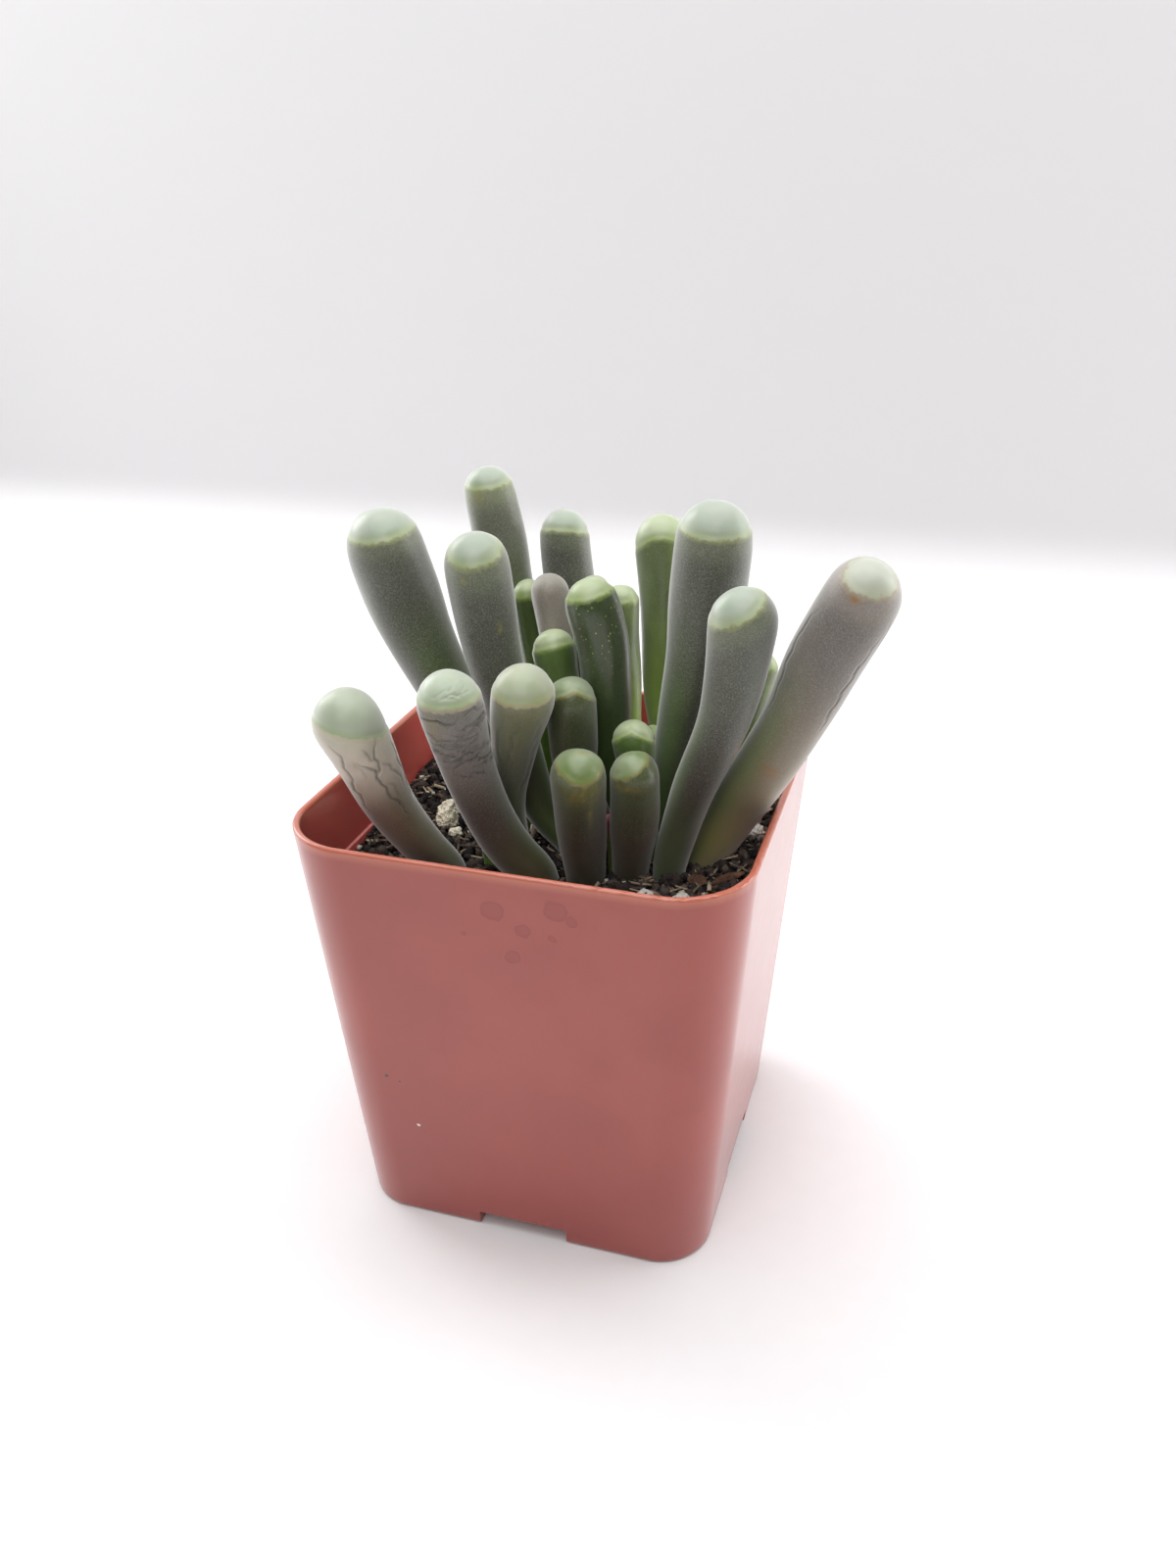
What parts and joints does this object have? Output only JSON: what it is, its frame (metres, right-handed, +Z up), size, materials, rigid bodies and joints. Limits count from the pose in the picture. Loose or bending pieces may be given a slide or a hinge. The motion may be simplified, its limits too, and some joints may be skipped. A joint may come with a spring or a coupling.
{
  "type": "potted baby toes",
  "caption": "Clump of club-shaped succulent leaves with clear window tips, standing in gritty soil in a small square nursery pot with notched feet.",
  "frame": {"origin": "on the surface that the pot stands on, under the middle of the part's bounding box; the pot's own centre line is 5.2 mm from it towards -X", "axes": "+Z up; -Y out of the pot's front side, which faces left in the picture; +X out of its right-hand side"},
  "size_m": [0.069, 0.056, 0.092],
  "materials": {
    "cinnabar": "semi-gloss rose-brown moulded plastic",
    "peat": "dry dark peat with brown fibres and pale grit",
    "grey_green": "waxy grey-green skin with a clear pale window on the tip",
    "fresh_green": "fresh green skin with a clear pale window on the tip",
    "bud_pink": "green bud with a pink tip",
    "pumice": "dry porous cream stone",
    "pebble": "dry smooth grit, grey and tan",
    "bark": "dry brown bark and leaf scale"
  },
  "bodies": {
    "root": {"pot": "cinnabar", "soil": "peat", "leaf_front_1": "grey_green", "leaf_front_2": "grey_green", "leaf_front_3": "fresh_green", "leaf_front_4": "grey_green", "leaf_front_5": "fresh_green", "leaf_front_6": "grey_green", "leaf_front_7": "grey_green", "leaf_middle_1": "grey_green", "leaf_middle_2": "fresh_green", "leaf_middle_3": "fresh_green", "leaf_middle_4": "fresh_green", "leaf_middle_5": "fresh_green", "leaf_middle_6": "grey_green", "leaf_middle_7": "fresh_green", "leaf_middle_8": "fresh_green", "leaf_back_1": "grey_green", "leaf_back_2": "grey_green", "leaf_back_3": "grey_green", "leaf_back_4": "fresh_green", "leaf_back_5": "grey_green", "leaf_back_6": "fresh_green", "leaf_back_7": "fresh_green", "leaf_back_8": "fresh_green", "leaf_young": "fresh_green", "flower_bud": "bud_pink", "pumice_cream": "pumice", "pumice_small": "pumice", "pumice_white": "pumice", "pebble_grey": "pebble", "pebble_tan": "pebble", "pebble_white_1": "pumice", "pebble_white_2": "pumice", "bark_crumb": "bark", "bark_ball": "bark", "bark_strip": "bark", "dry_scale": "bark"}
  },
  "joints": []
}
